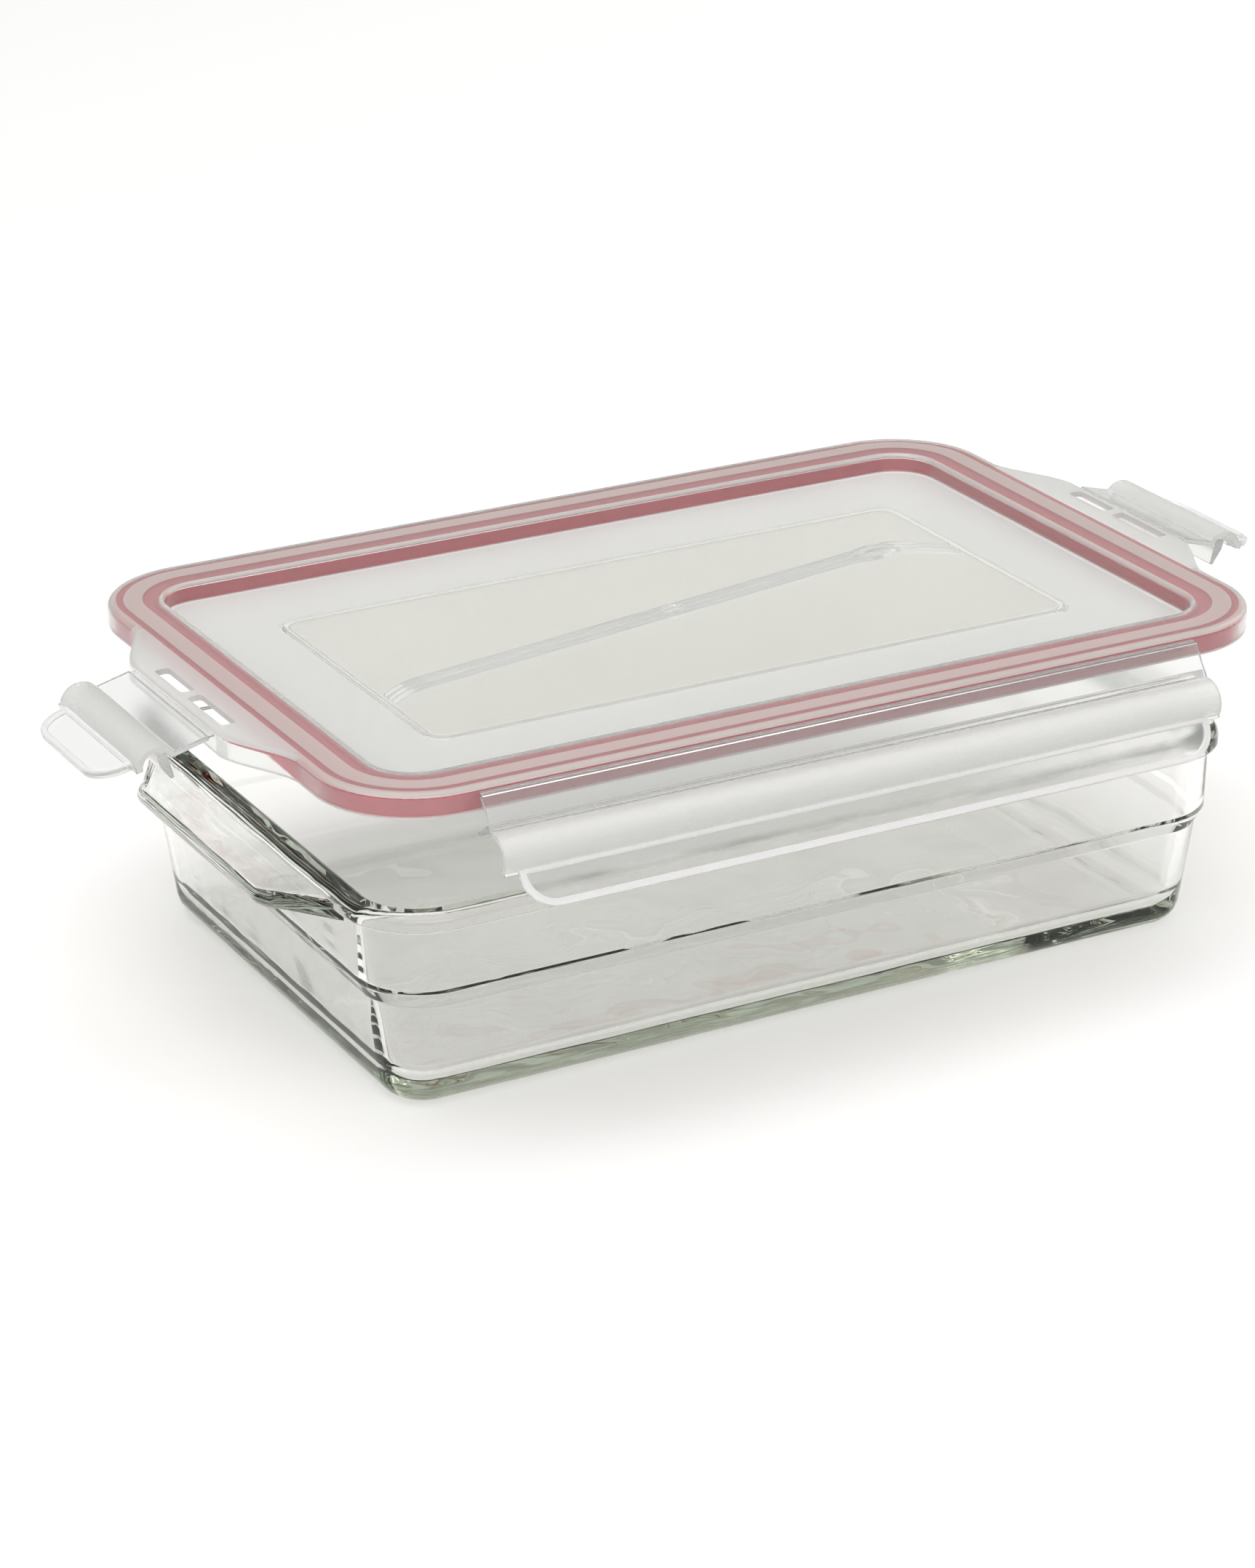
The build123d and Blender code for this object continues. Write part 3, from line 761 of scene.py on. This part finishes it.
def finishLid(obj, d):
    fieldX, fieldY = (d["halfLength"] - d["fieldEnd"]) * mm, (d["halfWidth"] - d["fieldSide"]) * mm
    panelUnder = d["panel"] - d["wall"]
    lips = d["lipLines"]

    def height(face):
        return (face.center.z - lidLift) / mm

    def onPanel(face):
        outside = abs(face.center.x) > fieldX + 0.3 * mm or abs(face.center.y) > fieldY + 0.3 * mm
        return abs(height(face) - panelUnder - 0.9) < 1.2 and outside

    def onChannel(face):
        grow = growAt(face.center, d)
        return height(face) > d["top"] - 1.1 and not (lips[0] < grow < lips[1] or lips[2] < grow < lips[3])

    def underField(face):
        return abs(height(face) - panelUnder - d["fieldRise"]) < 0.3 and face.normal.z < -0.9

    def onField(face):
        inside = abs(face.center.x) < fieldX and abs(face.center.y) < fieldY
        return inside and face.normal.z > 0.9 and abs(height(face) - d["panel"] - d["fieldRise"]) < 0.1

    def onWing(face):
        beside = abs(face.center.x) > (d["halfLength"] + 12.6) * mm and abs(face.center.y) < d["wingRoot"] * mm
        return beside and height(face) > d["top"] - 1.1

    finishWhere(obj, 1, onPanel)      # frosted
    # the channel's roof gets the milky finish, whose darker pinkish cloud is painted shade
    finishWhere(obj, 2, onChannel)    # milky, but for the clear lines over the gasket's lips
    finishWhere(obj, 1, underField)
    finishWhere(obj, 3, onField)      # satin round the clear stem
    finishWhere(obj, 1, onWing)


def finishLatch(obj, outward, latch, d):
    # spark texture on the hump's outside, and a bead round the tab made cloudier and whiter as a painted
    # highlight
    flat = hingeFrame(outward, latch).inverted()
    humpFrom, humpTo = d["humpStart"] * mm, (d["humpStart"] + d["humpLength"]) * mm
    finishWhere(obj, 2, lambda f: (flat @ f.center).x > humpTo and abs((flat @ f.center).z) > 0.84 * mm)
    finishWhere(obj, 1, lambda f: humpFrom < (flat @ f.center).x < humpTo and (flat @ f.center).z > 0.0)


finishLid(lidShell, lid)
for obj, outward, latch in places.values():
    finishLatch(obj, outward, latch, latchSizes)
print("finishes on")

# studio, in metres, watts and degrees
studio = {
    "floorSize": 16, "paper": "#f4f4f3", "glowFrom": 0.9, "glowTo": 2.8, "glow": 0.27,
    "sky": 0.85, "skySpread": 60,
    "around": 0.6, "backdrop": "#fbfbfa", "cards": 5.0, "cardTone": "#3a3d37",
    "tones": ((0.0, "#dededb"), (0.06, "#bfc0bb"), (0.20, "#b4b5b0"), (0.42, "#f2f2f1"), (1.0, "#ffffff")),
    # place, target, width, height, power and colour
    "lamps": {
        "overhead softbox": ((-0.1, 0.3, 1.5), (0, 0, 0.05), 1.8, 1.3, 8.2, "#fffdfa"),
        "window side": ((1.5, 0.2, 0.9), (0, 0, 0.05), 0.9, 1.1, 7, "#fffefc"),
        "left fill": ((-1.5, -0.5, 0.8), (0, 0, 0.05), 1.0, 0.8, 4, "#fbfdff"),
        "front strip": ((-0.5, -1.8, 0.85), (0, 0, 0.08), 2.2, 0.9, 12, "#fffefd"),
    },
}
# away points from the object to the camera, and right is level across the view
camera = {
    "aim": (-0.0058, 0.0208, 0.0368), "away": (-0.4381, -0.8107, 0.3883), "right": (0.8798, -0.4754, 0.0),
    "distance": 1.40135, "roll": -0.389, "lens": 102.65, "sensor": 36, "farEnd": 20,
}


def studioFloor(d):
    bpy.ops.mesh.primitive_plane_add(size=d["floorSize"], location=(0, 0, -0.2 * mm))
    floor = bpy.context.object
    floor.name = "studioFloor"
    mat, tree = newMaterial("white matt paper sweep")
    coords = addNode(tree, "ShaderNodeTexCoord")
    fibre = waviness(tree, coords, 700, 0.05, 0.2 * mm)
    # far off, the paper has a glow of its own, so it stays as pale as it is near the lamps
    reach = addNode(tree, "ShaderNodeVectorMath", {"operation": "LENGTH"}, {0: coords.outputs["Object"]})
    glow = addNode(tree, "ShaderNodeMapRange",
                   {"From Min": d["glowFrom"], "From Max": d["glowTo"], "To Min": 0.0, "To Max": d["glow"]},
                   {"Value": reach.outputs["Value"]})
    paper = addNode(tree, "ShaderNodeBsdfPrincipled",
                    {"Base Color": hexColour(d["paper"]), "Roughness": 0.7,
                     "Emission Color": hexColour("#ffffff")},
                    {"Normal": fibre.outputs["Normal"], "Emission Strength": glow.outputs[0]})
    addNode(tree, "ShaderNodeOutputMaterial", None, {"Surface": paper.outputs[0]})
    dress(floor, mat)


def addToScene(name, data):
    obj = bpy.data.objects.new(name, data)
    bpy.context.scene.collection.objects.link(obj)
    return obj


def softLamp(name, place, target, width, height, power, colour):
    light = bpy.data.lights.new(name, "AREA")
    light.shape = "RECTANGLE"
    light.size, light.size_y = width, height
    light.energy = power
    light.color = hexColour(colour)[:3]
    lamp = addToScene(name, light)
    lamp.location = place
    lamp.rotation_euler = (Vector(target) - Vector(place)).to_track_quat("-Z", "Y").to_euler()


def skyLamp(d):
    # an even soft light from above that keeps the far floor as pale as the near
    light = bpy.data.lights.new("even sky", "SUN")
    light.energy = d["sky"]
    light.angle = math.radians(d["skySpread"])
    addToScene("even sky", light).rotation_euler = (math.radians(12), math.radians(-10), 0)


def studioWorld(d):
    # bright all round, with dark cards standing near the horizon so clear edges draw lines
    world = bpy.data.worlds.new("soft studio")
    bpy.context.scene.world = world
    world.use_nodes = True
    tree = world.node_tree
    tree.nodes.clear()
    coords = addNode(tree, "ShaderNodeTexCoord")
    split = addNode(tree, "ShaderNodeSeparateXYZ", None, {0: coords.outputs["Generated"]})
    ramp = addNode(tree, "ShaderNodeValToRGB", None, {0: split.outputs["Z"]})
    # a new ramp has its first and last stops already
    stops = ramp.color_ramp.elements
    stops[0].color, stops[1].color = hexColour(d["tones"][0][1]), hexColour(d["tones"][-1][1])
    for place, tone in d["tones"][1:-1]:
        stops.new(place).color = hexColour(tone)
    # the cards stand evenly round the object and fade out upwards
    angle = addNode(tree, "ShaderNodeMath", {"operation": "ARCTAN2"},
                    {0: split.outputs["Y"], 1: split.outputs["X"]})
    turns = addNode(tree, "ShaderNodeMath", {"operation": "MULTIPLY", 1: d["cards"]}, {0: angle.outputs[0]})
    waves = addNode(tree, "ShaderNodeMath", {"operation": "SINE"}, {0: turns.outputs[0]})
    cards = addNode(tree, "ShaderNodeMapRange",
                    {"From Min": 0.55, "From Max": 0.8, "To Min": 0.0, "To Max": 0.8},
                    {"Value": waves.outputs[0]})
    low = addNode(tree, "ShaderNodeMapRange",
                  {"From Min": 0.5, "From Max": 0.3, "To Min": 0.0, "To Max": 1.0},
                  {"Value": split.outputs["Z"]})
    share = addNode(tree, "ShaderNodeMath", {"operation": "MULTIPLY"}, {0: cards.outputs[0], 1: low.outputs[0]})
    both = addNode(tree, "ShaderNodeMixRGB", {"Color2": hexColour(d["cardTone"])},
                   {"Fac": share.outputs[0], "Color1": ramp.outputs[0]})
    sky = addNode(tree, "ShaderNodeBackground", {"Strength": d["around"]}, {"Color": both.outputs[0]})
    # seen directly, it is a plain pale backdrop
    plain = addNode(tree, "ShaderNodeBackground", {"Color": hexColour(d["backdrop"]), "Strength": 1.0})
    path = addNode(tree, "ShaderNodeLightPath")
    view = addNode(tree, "ShaderNodeMixShader", None,
                   {0: path.outputs["Is Camera Ray"], 1: sky.outputs[0], 2: plain.outputs[0]})
    addNode(tree, "ShaderNodeOutputWorld", None, {"Surface": view.outputs[0]})


def makeCamera(d):
    data = bpy.data.cameras.new("studio camera")
    data.lens = d["lens"]
    data.sensor_width = d["sensor"]
    data.clip_end = d["farEnd"]
    away, right = Vector(d["away"]).normalized(), Vector(d["right"]).normalized()
    up = away.cross(right).normalized()
    roll = math.radians(d["roll"])
    side = right * math.cos(roll) + up * math.sin(roll)
    top = up * math.cos(roll) - right * math.sin(roll)
    m = Matrix((side, top, away)).transposed().to_4x4()
    m.translation = Vector(d["aim"]) + away * d["distance"]
    cam = addToScene("studio camera", data)
    cam.matrix_world = m
    bpy.context.scene.camera = cam


studioFloor(studio)
studioWorld(studio)
skyLamp(studio)
for name, settings in studio["lamps"].items():
    softLamp(name, *settings)
makeCamera(camera)
scene = bpy.context.scene
scene.view_settings.view_transform = "Standard"
# many clear layers lie behind one another, so light is followed through all of them
scene.cycles.max_bounces = 24
scene.cycles.glossy_bounces = 16
scene.cycles.transmission_bounces = 24
scene.cycles.transparent_max_bounces = 32
print("studio ready")
